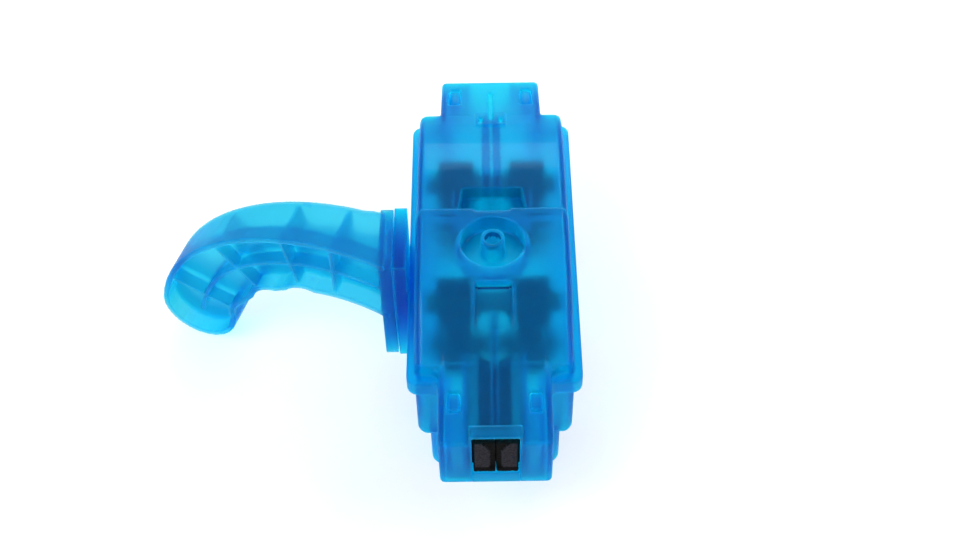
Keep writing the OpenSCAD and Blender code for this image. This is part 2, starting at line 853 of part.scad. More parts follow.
module grip_plate() {
    slot_h = rail_h + bracket_z - plate_z + over + slide_gap;
    difference() {
        translate([-plate_out, plate_y, plate_z + plate_h / 2])
            rotate([0, 90, 0])
                linear_extrude(height = plate_t)
                    round_rect(plate_h, plate_w, plate_r);
        translate([-plate_x - over - rail_neck_t - rail_head_t, plate_y, plate_z - over]) {
            translate([over - slide_gap, -rail_w / 2 - slide_gap, 0])
                cube([rail_head_t + 2 * slide_gap, rail_w + 2 * slide_gap, slot_h]);
            translate([over, -rail_neck_w / 2 - slide_gap, 0])
                cube([2 * rail_head_t + rail_neck_t + over, rail_neck_w + 2 * slide_gap, slot_h]);
        }
    }
}

module grip() {
    color(clear_blue) {
        grip_plate();
        grip_band();
    }
}

module axle(sy, z) {
    color("silver")
        translate([0, sy * roller_y, z])
            rotate([0, 90, 0])
                cylinder(d = axle_d - axle_fit, h = axle_l - axle_fit, center = true);
}

// A drive wheel with a round seat for each chain roller
module drive_wheel() {
    rotate([0, 90, 0])
        linear_extrude(height = wheel_t, center = true)
            difference() {
                circle(wheel_r);
                for (i = [0:wheel_teeth - 1])
                    rotate(i * 360 / wheel_teeth)
                        translate([wheel_pitch_r, 0]) {
                            circle(d = chain_roller_d);
                            translate([wheel_flank_out, 0])
                                circle(wheel_flank_r);
                        }
            }
}

module hub(sy, z, driven) {
    color("white")
        translate([0, sy * roller_y, z])
            difference() {
                union() {
                    rotate([0, 90, 0])
                        cylinder(r = core_r, h = hub_l, center = true);
                    if (driven)
                        drive_wheel();
                    for (sx = [-1, 1])
                        translate([sx * (brush_x - fine_gap - spool_flange_t / 2), 0, 0])
                            rotate([0, 90, 0])
                                cylinder(r = spool_flange_r, h = spool_flange_t, center = true);
                }
                rotate([0, 90, 0])
                    cylinder(r = hub_bore_r, h = hub_l + over, center = true);
            }
}

// A sleeve with rows of bristles, pushed on one end of a hub
module brush(sy, z, side, d) {
    root = core_r + sleeve_t - bristle_root;
    pitch = brush_l / bristle_rows;
    color("dimgray")
        translate([0, sy * roller_y, z])
            scale([side, 1, 1])
                translate([brush_x, 0, 0]) {
                    rotate([0, 90, 0])
                        difference() {
                            cylinder(r = core_r + sleeve_t, h = brush_l);
                            translate([0, 0, -over])
                                cylinder(r = core_r + sleeve_fit, h = brush_l + 2 * over);
                        }
                    for (row = [0:bristle_rows - 1], i = [0:bristles_round - 1])
                        translate([pitch * (row + 0.5), 0, 0])
                            rotate([(i + row % 2 / 2) * 360 / bristles_round, 0, 0])
                                translate([0, 0, root])
                                    cylinder(d = bristle_d, h = d / 2 - root, $fn = 4);
                }
}

// One foam pad: a round-edged block with a slope that leads the chain into the slit
module wiper(side) {
    w = (foam_w - foam_slit) / 2;
    h = foam_top - foam_z;
    color("dimgray")
        scale([side, 1, 1])
            translate([foam_slit / 2, foam_y + foam_l, foam_z])
                rotate([90, 0, 0])
                    linear_extrude(height = foam_l)
                        difference() {
                            translate([w / 2, h / 2])
                                round_rect(w, h, foam_r);
                            polygon([[-over, h - foam_funnel_h - over], [0, h - foam_funnel_h],
                                     [foam_funnel_w, h], [foam_funnel_w, h + over], [-over, h + over]]);
                        }
}

cover_shell();
reservoir_shell();
grip();
axle(-1, upper_z);  // front_upper_axle
axle(1, upper_z);  // rear_upper_axle
axle(-1, lower_z);  // front_lower_axle
axle(1, lower_z);  // rear_lower_axle
hub(-1, upper_z, false);  // front_upper_hub
hub(1, upper_z, false);  // rear_upper_hub
hub(-1, lower_z, true);  // front_lower_hub
hub(1, lower_z, true);  // rear_lower_hub
brush(-1, upper_z, -1, upper_brush_d);  // front_upper_brush_left
brush(-1, upper_z, 1, upper_brush_d);  // front_upper_brush_right
brush(1, upper_z, -1, upper_brush_d);  // rear_upper_brush_left
brush(1, upper_z, 1, upper_brush_d);  // rear_upper_brush_right
brush(-1, lower_z, -1, lower_brush_d);  // front_lower_brush_left
brush(-1, lower_z, 1, lower_brush_d);  // front_lower_brush_right
brush(1, lower_z, -1, lower_brush_d);  // rear_lower_brush_left
brush(1, lower_z, 1, lower_brush_d);  // rear_lower_brush_right
wiper(-1);  // left_wiper
wiper(1);  // right_wiper
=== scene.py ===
# Bike chain cleaner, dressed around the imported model: clear blue casing and grip, brush rollers,
# foam wipers, camera, light and floor. Everything is in metres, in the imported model's frame.
import math

import bmesh
import bpy
from mathutils import Matrix, Vector, noise
from mathutils.bvhtree import BVHTree


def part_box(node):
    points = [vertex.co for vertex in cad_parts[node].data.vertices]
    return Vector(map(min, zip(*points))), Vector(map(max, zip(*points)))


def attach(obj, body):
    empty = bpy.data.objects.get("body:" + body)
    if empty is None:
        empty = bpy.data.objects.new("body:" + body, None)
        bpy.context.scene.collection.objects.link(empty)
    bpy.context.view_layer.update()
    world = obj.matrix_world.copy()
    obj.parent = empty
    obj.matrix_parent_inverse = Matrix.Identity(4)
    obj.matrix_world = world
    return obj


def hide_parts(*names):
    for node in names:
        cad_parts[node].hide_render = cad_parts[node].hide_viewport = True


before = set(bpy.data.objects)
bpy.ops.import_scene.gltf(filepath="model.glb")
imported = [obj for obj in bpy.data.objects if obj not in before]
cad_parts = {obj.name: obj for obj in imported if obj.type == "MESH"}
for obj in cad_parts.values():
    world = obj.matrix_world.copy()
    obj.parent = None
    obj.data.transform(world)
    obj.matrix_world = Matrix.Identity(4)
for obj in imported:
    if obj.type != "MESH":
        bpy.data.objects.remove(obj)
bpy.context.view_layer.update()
mm = 0.001
weldReach = 0.001 * mm      # points of the CAD mesh closer than this are one point


# ---- small helpers

def addPiece(name, mesh):
    piece = bpy.data.objects.new(name, mesh)
    bpy.context.scene.collection.objects.link(piece)
    return piece


def freeze(piece):
    # the evaluated shape becomes the piece's plain mesh, and its modifiers go
    graph = bpy.context.evaluated_depsgraph_get()
    graph.update()
    mesh = bpy.data.meshes.new_from_object(piece.evaluated_get(graph))
    piece.modifiers.clear()
    old = piece.data
    piece.data = mesh
    bpy.data.meshes.remove(old)
    mesh.name = piece.name


def weld(mesh):
    work = bmesh.new()
    work.from_mesh(mesh)
    bmesh.ops.remove_doubles(work, verts=work.verts, dist=weldReach)
    bmesh.ops.recalc_face_normals(work, faces=work.faces)
    work.to_mesh(mesh)
    work.free()


def setMaterial(piece, material):
    piece.data.materials.clear()
    piece.data.materials.append(material)


def newMaterial(name):
    material = bpy.data.materials.new(name)
    material.use_nodes = True
    nodes = material.node_tree.nodes
    shader = next(n for n in nodes if n.type == "BSDF_PRINCIPLED")
    return material, nodes, material.node_tree.links, shader


def bumpFrom(nodes, links, shader, height, strength, distance):
    bump = nodes.new("ShaderNodeBump")
    bump.inputs["Strength"].default_value = strength
    bump.inputs["Distance"].default_value = distance
    links.new(height, bump.inputs["Height"])
    links.new(bump.outputs["Normal"], shader.inputs["Normal"])
    return bump


def noiseOn(nodes, links, scale, detail):
    where = nodes.new("ShaderNodeTexCoord")
    cloud = nodes.new("ShaderNodeTexNoise")
    cloud.inputs["Scale"].default_value = scale
    cloud.inputs["Detail"].default_value = detail
    links.new(where.outputs["Object"], cloud.inputs["Vector"])
    return cloud


def ramp(nodes, links, value, *stops):
    # a colour ramp of two stops, each a place and its colour
    node = nodes.new("ShaderNodeValToRGB")
    for element, (place, colour) in zip(node.color_ramp.elements, stops):
        element.position, element.color = place, (*colour, 1)
    links.new(value, node.inputs["Fac"])
    return node.outputs["Color"]


# ---- materials

clearBlue = {
    "thin": (0.12, 0.97, 0.93),
    "deep": (0.08, 0.94, 0.90),
    "paintedShadeTint": (0.0, 0.03, 0.22),     # painted shade colour, where the cover's painted shade is full
    "edge": (0.01, 0.52, 0.94),     # painted highlight colour on the convex moulded edges
    "paintedHighlightRange": (0.51, 0.57),      # pointiness at which the painted edge highlight begins and is full
    "roughness": 0.62,
    "ior": 1.11,
    "specular": 1.0,
    "gloss": (0.02, 0.58, 1.0),
    "coat": 0.16,
    "coatRoughness": 0.06,
    "haze": (0.0, 0.26, 0.78),
    "hazeAndHighlightShare": (0.15, 0.5),       # on flats, and on edges, where the extra haze is part of the painted highlight
    "ripple": 0.05,
    "rippleHeight": 0.6 * mm,
    "clear": (0.01, 0.915, 0.975),  # with the density, what stays of the light inside the wall
    "density": 1050.0,
    "shadow": (0.72, 0.93, 0.99),
}
paleBlue = dict(clearBlue, thin=(0.55, 0.92, 0.87), deep=(0.48, 0.90, 0.85),
                haze=(0.02, 0.34, 0.80), clear=(0.03, 0.88, 0.965), density=850.0)


def blend(nodes, links, share, first, second):
    # a colour mix; sockets 6 and 7 are its two colours
    node = nodes.new("ShaderNodeMix")
    node.data_type = "RGBA"
    links.new(share, node.inputs["Factor"])
    for socket, value in ((node.inputs[6], first), (node.inputs[7], second)):
        if isinstance(value, tuple):
            socket.default_value = (*value, 1)
        else:
            links.new(value, socket)
    return node.outputs[2]


def clearPlastic(name, look):
    # see-through moulded plastic: a faint flow pattern in the colour, a little haze, a painted
    # highlight on the edges, painted shade where the cover stores it, and a slight ripple on top
    material, nodes, links, shader = newMaterial(name)
    flow = noiseOn(nodes, links, 60, 3)
    tint = ramp(nodes, links, flow.outputs["Fac"], (0.35, look["deep"]), (0.65, look["thin"]))
    # painted shade: the stored amount darkens the base colour and the haze towards a deep navy
    stored = nodes.new("ShaderNodeAttribute")
    stored.attribute_name = "paintedShade"
    paintedShadeTint = blend(nodes, links, stored.outputs["Fac"], tint, look["paintedShadeTint"])
    links.new(paintedShadeTint, shader.inputs["Base Color"])
    shader.inputs["Transmission Weight"].default_value = 1.0
    shader.inputs["Roughness"].default_value = look["roughness"]
    shader.inputs["IOR"].default_value = look["ior"]
    shader.inputs["Specular IOR Level"].default_value = look["specular"]
    shader.inputs["Specular Tint"].default_value = (*look["gloss"], 1)
    shader.inputs["Coat Weight"].default_value = look["coat"]
    shader.inputs["Coat Roughness"].default_value = look["coatRoughness"]
    wave = noiseOn(nodes, links, 130, 2)
    bump = bumpFrom(nodes, links, shader, wave.outputs["Fac"], look["ripple"], look["rippleHeight"])
    # painted highlight: convex edges, found by pointiness, get a lighter haze colour and a larger
    # share of haze
    shape = nodes.new("ShaderNodeNewGeometry")
    edge = nodes.new("ShaderNodeMapRange")
    edge.inputs["From Min"].default_value, edge.inputs["From Max"].default_value = look["paintedHighlightRange"]
    links.new(shape.outputs["Pointiness"], edge.inputs["Value"])
    hazeWithPaintedLight = blend(nodes, links, edge.outputs["Result"], look["haze"], look["edge"])
    hazeWithPaintedLight = blend(nodes, links, stored.outputs["Fac"], hazeWithPaintedLight, look["paintedShadeTint"])
    share = nodes.new("ShaderNodeMapRange")
    share.inputs["To Min"].default_value, share.inputs["To Max"].default_value = look["hazeAndHighlightShare"]
    links.new(edge.outputs["Result"], share.inputs["Value"])
    # the haze scatters light to both sides
    front = nodes.new("ShaderNodeBsdfDiffuse")
    behind = nodes.new("ShaderNodeBsdfTranslucent")
    scatter = nodes.new("ShaderNodeMixShader")
    hazed = nodes.new("ShaderNodeMixShader")
    for side in (front, behind):
        links.new(hazeWithPaintedLight, side.inputs["Color"])
        links.new(bump.outputs["Normal"], side.inputs["Normal"])
    scatter.inputs["Fac"].default_value = 0.5
    links.new(front.outputs["BSDF"], scatter.inputs[1])
    links.new(behind.outputs["BSDF"], scatter.inputs[2])
    links.new(share.outputs["Result"], hazed.inputs["Fac"])
    links.new(shader.outputs["BSDF"], hazed.inputs[1])
    links.new(scatter.outputs["Shader"], hazed.inputs[2])
    # lamps shine through it, so what is inside is lit and the shadow is blue
    path = nodes.new("ShaderNodeLightPath")
    through = nodes.new("ShaderNodeBsdfTransparent")
    through.inputs["Color"].default_value = (*look["shadow"], 1)
    mix = nodes.new("ShaderNodeMixShader")
    out = next(n for n in nodes if n.type == "OUTPUT_MATERIAL")
    links.new(path.outputs["Is Shadow Ray"], mix.inputs["Fac"])
    links.new(hazed.outputs["Shader"], mix.inputs[1])
    links.new(through.outputs["BSDF"], mix.inputs[2])
    links.new(mix.outputs["Shader"], out.inputs["Surface"])
    # the thicker the plastic on the way, the deeper the blue
    depth = nodes.new("ShaderNodeVolumeAbsorption")
    depth.inputs["Color"].default_value = (*look["clear"], 1)
    depth.inputs["Density"].default_value = look["density"]
    links.new(depth.outputs["Volume"], out.inputs["Volume"])
    return material


def steel():
    material, nodes, links, shader = newMaterial("groundSteel")
    grain = noiseOn(nodes, links, 900, 4)
    tone = ramp(nodes, links, grain.outputs["Fac"],
                (0.3, (0.42, 0.43, 0.45)), (0.7, (0.62, 0.63, 0.65)))
    links.new(tone, shader.inputs["Base Color"])
    shader.inputs["Metallic"].default_value = 1.0
    shader.inputs["Roughness"].default_value = 0.28
    bumpFrom(nodes, links, shader, grain.outputs["Fac"], 0.2, 0.0001)
    return material


def hubPlastic():
    material, nodes, links, shader = newMaterial("hubPlastic")
    flow = noiseOn(nodes, links, 220, 3)
    tone = ramp(nodes, links, flow.outputs["Fac"],
                (0.3, (0.035, 0.038, 0.045)), (0.7, (0.06, 0.064, 0.075)))
    links.new(tone, shader.inputs["Base Color"])
    shader.inputs["Roughness"].default_value = 0.42
    bumpFrom(nodes, links, shader, flow.outputs["Fac"], 0.15, 0.0002)
    return material


def bristlePlastic():
    material, nodes, links, shader = newMaterial("bristleNylon")
    streak = noiseOn(nodes, links, 1400, 2)
    tone = ramp(nodes, links, streak.outputs["Fac"],
                (0.3, (0.010, 0.015, 0.028)), (0.7, (0.045, 0.055, 0.080)))
    links.new(tone, shader.inputs["Base Color"])
    shader.inputs["Roughness"].default_value = 0.38
    bumpFrom(nodes, links, shader, streak.outputs["Fac"], 0.2, 0.0001)
    return material


def foamRubber():
    # dark open cells; a painted light and shade level stored on the pad's points scales the colour:
    # lighter on lit tops, black in shaded recesses
    material, nodes, links, shader = newMaterial("openFoam")
    where = nodes.new("ShaderNodeTexCoord")
    cells = nodes.new("ShaderNodeTexVoronoi")
    cells.inputs["Scale"].default_value = 1500
    links.new(where.outputs["Object"], cells.inputs["Vector"])
    tone = ramp(nodes, links, cells.outputs["Distance"],
                (0.1, (0.014, 0.014, 0.019)), (0.6, (0.046, 0.045, 0.058)))
    stored = nodes.new("ShaderNodeAttribute")
    stored.attribute_name = "tone"
    shade = nodes.new("ShaderNodeVectorMath")
    shade.operation = "SCALE"
    links.new(tone, shade.inputs[0])
    links.new(stored.outputs["Fac"], shade.inputs["Scale"])
    links.new(shade.outputs["Vector"], shader.inputs["Base Color"])
    shader.inputs["Roughness"].default_value = 0.93
    shader.inputs["Specular IOR Level"].default_value = 0.15
    bumpFrom(nodes, links, shader, cells.outputs["Distance"], 0.6, 0.0004)
    return material


coverBlue = clearPlastic("clearBlueCover", clearBlue)
reservoirBlue = clearPlastic("clearBlueReservoir", clearBlue)
gripBlue = clearPlastic("clearBlueGrip", paleBlue)
steelLook = steel()
hubLook = hubPlastic()
bristleLook = bristlePlastic()
foamLook = foamRubber()
print("materials made")


# ---- casing and grip: each is the CAD solid with its moulded edges rounded

shells = {
    "coverMoulding": {"node": "cover_shell", "body": "cover", "slot": "casing_blue",
                      "material": coverBlue, "grid": 0.5 * mm, "triangles": 170000},
    "reservoirMoulding": {"node": "reservoir_shell", "body": "reservoir", "slot": "casing_blue",
                          "material": reservoirBlue, "grid": 0.5 * mm, "triangles": 170000},
    "gripMoulding": {"node": "grip", "body": "grip", "slot": "grip_blue",
                     "material": gripBlue, "grid": 0.4 * mm, "triangles": 120000},
}
softening = {"factor": 0.5, "passes": 2}

# the tongues that close the foot of the chain openings, and the hooks in the snap windows, with
# how far a hook is spread along and across
tongue = {"half": 7.3 * mm, "front": 77 * mm, "foot": 28.9 * mm, "edge": 1.6 * mm, "widen": 1.045}
hooks = [
    {"x": 12.5 * mm, "y": -63 * mm, "half": 2.3 * mm, "along": 0.95, "across": 0.3},
    {"x": 12.5 * mm, "y": 65 * mm, "half": 2.3 * mm, "along": 1.6, "across": 0.3},
]
hookFoot = 47.6 * mm


def spreadHooks(p):
    for hook in hooks:
        beside = max(abs(abs(p.x) - hook["x"]), abs(p.y - hook["y"]))
        if p.z > hookFoot and beside < hook["half"]:
            rise = min(1.0, (p.z - hookFoot) / mm)
            p.y += (p.y - hook["y"]) * hook["along"] * rise
            p.x += (p.x - math.copysign(hook["x"], p.x)) * hook["across"] * rise


def easeReservoir(mesh):
    # rounds the foot of the two tongues as the cover's snouts are, and fills the snap windows
    for vertex in mesh.vertices:
        p = vertex.co
        out = abs(p.y) - (tongue["front"] - tongue["edge"])
        down = tongue["foot"] + tongue["edge"] - p.z
        if abs(p.x) < tongue["half"] and out > 0:
            p.x *= tongue["widen"]
        if abs(p.x) < tongue["half"] and out > 0 and down > 0:
            shrink = max(out, down) / math.hypot(out, down)
            p.y = math.copysign(tongue["front"] - tongue["edge"] + out * shrink, p.y)
            p.z = tongue["foot"] + tongue["edge"] - down * shrink
        spreadHooks(p)


# painted shade: the plastic is drawn darker in the nozzle's bore, in the scoop's slit and along the
# roof's rear ribs, as spans off the middle line, along and up; the bore is round
paintedShadeSpots = [
    {"across": (0.4 * mm, 3.1 * mm), "along": (1 * mm, 50 * mm), "up": (46 * mm, 72 * mm),
     "amount": 0.12},
    {"across": (-1 * mm, 2.9 * mm), "along": (-16.7 * mm, -10.9 * mm), "up": (68.8 * mm, 71.1 * mm),
     "round": -13.8 * mm, "amount": 0.9},
    {"across": (-1 * mm, 5.9 * mm), "along": (-29.3 * mm, -24.8 * mm), "up": (65 * mm, 65.9 * mm),
     "amount": 1.0},
]


def paintedShadeAt(p):
    amount = 0.0
    for paintedShade in paintedShadeSpots:
        off = abs(p.x)
        if "round" in paintedShade:
            off = math.hypot(p.x, p.y - paintedShade["round"])
        spans = ((off, paintedShade["across"]), (p.y, paintedShade["along"]), (p.z, paintedShade["up"]))
        if all(low < value < high for value, (low, high) in spans):
            amount = max(amount, paintedShade["amount"])
    return amount


# stores on each point of the cover how much painted shade it gets
def paintShadeOnCover(mesh):
    stored = mesh.attributes.new("paintedShade", "FLOAT", "POINT")
    for vertex in mesh.vertices:
        stored.data[vertex.index].value = paintedShadeAt(vertex.co)


def mouldedCopy(name, look):
    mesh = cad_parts[look["node"]].data.copy()
    weld(mesh)
    solid = bmesh.new()
    solid.from_mesh(mesh)
    surface = BVHTree.FromBMesh(solid)
    solid.free()
    piece = addPiece(name, mesh)
    grid = piece.modifiers.new("grid", "REMESH")
    grid.mode = "VOXEL"
    grid.voxel_size = look["grid"]
    freeze(piece)
    # back onto the solid, so that flats are flat again; smoothing then rounds only the edges
    for vertex in piece.data.vertices:
        vertex.co = surface.find_nearest(vertex.co)[0]
    count = sum(len(face.vertices) - 2 for face in piece.data.polygons)
    soften = piece.modifiers.new("soften", "SMOOTH")
    soften.factor = softening["factor"]
    soften.iterations = softening["passes"]
    thin = piece.modifiers.new("thin", "DECIMATE")
    thin.ratio = min(1.0, look["triangles"] / count)
    freeze(piece)
    if look["node"] == "reservoir_shell":
        easeReservoir(piece.data)
    if look["node"] == "cover_shell":
        paintShadeOnCover(piece.data)
    piece.data.shade_smooth()
    setMaterial(piece, look["material"])
    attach(piece, look["body"])
    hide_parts(look["node"])
    print(name, "made from", count, "triangles, now", len(piece.data.polygons))


for name, look in shells.items():
    mouldedCopy(name, look)


# ---- rollers: sleeves with dense bristles, grown by nodes

brush = {
    "boreRadius": 3.53 * mm,
    "sleeveRadius": 4.6 * mm,
    "sleeveEdge": 0.25 * mm,
    "rootDepth": 0.2 * mm,
    "rows": 15,
    "around": 44,
    "thickness": 0.42 * mm,
    "rowsLength": 11.1 * mm,
    "lean": 0.16,
}
rollers = {
    "frontUpperBrushes": {"place": "front_upper", "seed": 3},
    "rearUpperBrushes": {"place": "rear_upper", "seed": 5},
    "frontLowerBrushes": {"place": "front_lower", "seed": 7},
    "rearLowerBrushes": {"place": "rear_lower", "seed": 9},
}


def bristleTree():
    # grows rows of bristles out of a point grid wrapped round the X axis; the sleeve passes through
    tree = bpy.data.node_groups.new("bristleRows", "GeometryNodeTree")
    face = tree.interface
    face.new_socket("Geometry", in_out="INPUT", socket_type="NodeSocketGeometry")
    for label, kind in (("Block Length", "NodeSocketFloat"), ("Root Radius", "NodeSocketFloat"),
                        ("Tip Radius", "NodeSocketFloat"), ("Bristle Radius", "NodeSocketFloat"),
                        ("Lean", "NodeSocketFloat"), ("Rows", "NodeSocketInt"),
                        ("Around", "NodeSocketInt"), ("Seed", "NodeSocketInt"),
                        ("Offset", "NodeSocketVector"), ("Bristle", "NodeSocketMaterial")):
        face.new_socket(label, in_out="INPUT", socket_type=kind)
    face.new_socket("Geometry", in_out="OUTPUT", socket_type="NodeSocketGeometry")
    nodes, links = tree.nodes, tree.links
    given = nodes.new("NodeGroupInput").outputs
    result = nodes.new("NodeGroupOutput")

    def calc(operation, a, b=None, c=None):
        node = nodes.new("ShaderNodeMath")
        node.operation = operation
        for socket, value in zip(node.inputs, (a, b, c)):
            if value is None:
                continue
            if isinstance(value, (int, float)):
                socket.default_value = value
            else:
                links.new(value, socket)
        return node.outputs[0]

    def random(low, high, shift):
        node = nodes.new("FunctionNodeRandomValue")
        node.data_type = "FLOAT"
        node.inputs[2].default_value = low
        node.inputs[3].default_value = high
        links.new(calc("ADD", given["Seed"], shift), node.inputs["Seed"])
        return node.outputs[1]

    grid = nodes.new("GeometryNodeMeshGrid")
    grid.inputs["Size Y"].default_value = 1.0
    links.new(given["Block Length"], grid.inputs["Size X"])
    links.new(given["Rows"], grid.inputs["Vertices X"])
    links.new(given["Around"], grid.inputs["Vertices Y"])
    points = nodes.new("GeometryNodeMeshToPoints")
    links.new(grid.outputs["Mesh"], points.inputs["Mesh"])
    place = nodes.new("GeometryNodeInputPosition")
    apart = nodes.new("ShaderNodeSeparateXYZ")
    links.new(place.outputs[0], apart.inputs[0])
    # the share of a turn: the grid's Y, one step short of closing, plus a shift and a little chance
    turnStep = calc("DIVIDE", 1.0, given["Around"])
    share = calc("MULTIPLY", apart.outputs["Y"], calc("SUBTRACT", 1.0, turnStep))
    jitter = calc("MULTIPLY", random(-0.45, 0.45, 1), turnStep)
    angle = calc("MULTIPLY", calc("ADD", share, jitter), 2 * math.pi)
    along = calc("ADD", apart.outputs["X"], random(-0.0003, 0.0003, 2))
    sine, cosine = calc("SINE", angle), calc("COSINE", angle)
    at = nodes.new("ShaderNodeCombineXYZ")
    links.new(along, at.inputs["X"])
    links.new(calc("MULTIPLY", cosine, given["Root Radius"]), at.inputs["Y"])
    links.new(calc("MULTIPLY", sine, given["Root Radius"]), at.inputs["Z"])
    radial = nodes.new("ShaderNodeCombineXYZ")
    links.new(calc("MULTIPLY", random(-1.0, 1.0, 3), given["Lean"]), radial.inputs["X"])
    for way, shift, socket in ((cosine, 4, "Y"), (sine, 5, "Z")):
        lean = calc("MULTIPLY", random(-1.0, 1.0, shift), given["Lean"])
        links.new(calc("ADD", way, lean), radial.inputs[socket])
    stay = nodes.new("GeometryNodeSetPosition")
    links.new(at.outputs[0], stay.inputs["Position"])
    # direction is taken from the wrapped place, so it is stored before the points move
    keep = nodes.new("GeometryNodeStoreNamedAttribute")
    keep.data_type = "FLOAT_VECTOR"
    keep.domain = "POINT"
    keep.inputs["Name"].default_value = "outward"
    links.new(points.outputs["Points"], keep.inputs["Geometry"])
    links.new(radial.outputs[0], keep.inputs["Value"])
    links.new(keep.outputs["Geometry"], stay.inputs["Geometry"])
    kept = nodes.new("GeometryNodeInputNamedAttribute")
    kept.data_type = "FLOAT_VECTOR"
    kept.inputs["Name"].default_value = "outward"
    aim = nodes.new("FunctionNodeAlignRotationToVector")
    aim.axis = "Z"
    links.new(kept.outputs["Attribute"], aim.inputs["Vector"])
    hair = nodes.new("GeometryNodeMeshCone")
    hair.fill_type = "TRIANGLE_FAN"
    hair.inputs["Vertices"].default_value = 5
    hair.inputs["Side Segments"].default_value = 1
    hair.inputs["Fill Segments"].default_value = 1
    links.new(calc("MULTIPLY", given["Bristle Radius"], 0.62), hair.inputs["Radius Top"])
    links.new(given["Bristle Radius"], hair.inputs["Radius Bottom"])
    links.new(calc("SUBTRACT", given["Tip Radius"], given["Root Radius"]), hair.inputs["Depth"])
    spread = nodes.new("GeometryNodeInstanceOnPoints")
    links.new(stay.outputs["Geometry"], spread.inputs["Points"])
    links.new(hair.outputs["Mesh"], spread.inputs["Instance"])
    links.new(aim.outputs["Rotation"], spread.inputs["Rotation"])
    size = nodes.new("ShaderNodeCombineXYZ")
    size.inputs["X"].default_value = 1.0
    size.inputs["Y"].default_value = 1.0
    links.new(random(0.9, 0.985, 6), size.inputs["Z"])
    links.new(size.outputs[0], spread.inputs["Scale"])
    real = nodes.new("GeometryNodeRealizeInstances")
    links.new(spread.outputs["Instances"], real.inputs["Geometry"])
    # one block at each end of the hub
    both = nodes.new("GeometryNodeJoinGeometry")
    for sign in (1.0, -1.0):
        flip = nodes.new("ShaderNodeVectorMath")
        flip.operation = "MULTIPLY"
        flip.inputs[1].default_value = (sign, 1.0, 1.0)
        links.new(given["Offset"], flip.inputs[0])
        move = nodes.new("GeometryNodeTransform")
        links.new(real.outputs["Geometry"], move.inputs["Geometry"])
        links.new(flip.outputs[0], move.inputs["Translation"])
        links.new(move.outputs["Geometry"], both.inputs["Geometry"])
    links.new(given["Geometry"], both.inputs["Geometry"])
    paint = nodes.new("GeometryNodeSetMaterial")
    links.new(both.outputs["Geometry"], paint.inputs["Geometry"])
    links.new(given["Bristle"], paint.inputs["Material"])
    links.new(paint.outputs["Geometry"], result.inputs["Geometry"])
    return tree


def setInput(modifier, tree, label, value):
    socket = next(s for s in tree.interface.items_tree if s.name == label and s.in_out == "INPUT")
    modifier[socket.identifier] = value


def tube(work, ends, middle, sides=48):
    # a sleeve round the X axis with bevelled ends
    (x0, x1), (y, z) = ends, middle
    inner, outer, edge = brush["boreRadius"], brush["sleeveRadius"], brush["sleeveEdge"]
    profile = [(x0, inner), (x0, outer - edge), (x0 + edge, outer), (x1 - edge, outer),
               (x1, outer - edge), (x1, inner)]
    rings = []
    for i in range(sides):
        a = 2 * math.pi * i / sides
        rings.append([work.verts.new((x, y + r * math.cos(a), z + r * math.sin(a)))
                      for x, r in profile])
    for i in range(sides):
        here, after = rings[i], rings[(i + 1) % sides]
        for j in range(len(profile)):
            k = (j + 1) % len(profile)
            work.faces.new((here[j], here[k], after[k], after[j]))


tree = bristleTree()
for name, look in rollers.items():
    left, right = look["place"] + "_brush_left", look["place"] + "_brush_right"
    low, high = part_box(right)
    y, z = (low.y + high.y) / 2, (low.z + high.z) / 2
    tip = (high.z - low.z) / 2
    middle = (low.x + high.x) / 2
    work = bmesh.new()
    for side in (left, right):
        a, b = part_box(side)
        tube(work, (a.x, b.x), (y, z))
    bmesh.ops.recalc_face_normals(work, faces=work.faces)
    mesh = bpy.data.meshes.new(name)
    work.to_mesh(mesh)
    work.free()
    piece = addPiece(name, mesh)
    grow = piece.modifiers.new("bristles", "NODES")
    grow.node_group = tree
    for label, value in (("Block Length", brush["rowsLength"]),
                         ("Root Radius", brush["sleeveRadius"] - brush["rootDepth"]),
                         ("Tip Radius", tip),
                         ("Bristle Radius", brush["thickness"] / 2), ("Lean", brush["lean"]),
                         ("Rows", brush["rows"]), ("Around", brush["around"]),
                         ("Seed", look["seed"]), ("Offset", (middle, y, z)),
                         ("Bristle", bristleLook)):
        setInput(grow, tree, label, value)
    freeze(piece)
    setMaterial(piece, bristleLook)
    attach(piece, look["place"] + "_roller")
    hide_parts(left, right)
    print(piece.name, len(piece.data.polygons), "faces")

for look in rollers.values():
    setMaterial(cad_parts[look["place"] + "_hub"], hubLook)
    setMaterial(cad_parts[look["place"] + "_axle"], steelLook)


# ---- foam wipers: the CAD pad with its soft lobe in the mouth, pitted, toothed along the slit, with painted light on top and painted shade in its recesses

foam = {
    "grid": 0.35 * mm,
    "passes": 5,
    "root": 1.5 * mm,
    "pits": 0.28 * mm,
    "pitDepth": 1.6,
    "teeth": 1.55 * mm,
    "toothDepth": 0.55 * mm,
    # outlines, across and up in mm, and how far each stands out of the pad
    "parts": [([(0.03, 35.45), (6.9, 35.45), (6.9, 49.6), (0.03, 49.6)], 2.8 * mm),
              ([(0.03, 35.45), (6.9, 35.45), (6.9, 36.9), (0.03, 36.9)], 4.15 * mm),
              ([(1.9, 36.7), (6.6, 36.7), (6.6, 50.2), (4.3, 50.2), (1.9, 46.4)], 3.6 * mm)],
    # the share of the pad's height where the slit opens, and where it has teeth
    "slitFrom": 0.72,
    "slitSlope": 5 * mm,
    "teethFrom": (0.7, 0.6),
    "lobeFace": 3.1 * mm,
    "lobeFoot": 37.4 * mm,
    # painted light and shade levels: lobe faces grey, lit tops lighter, shaded recesses black
    "paintedLightLevels": {"lobe": 0.7, "top": 3.0, "dark": 0.03},
}


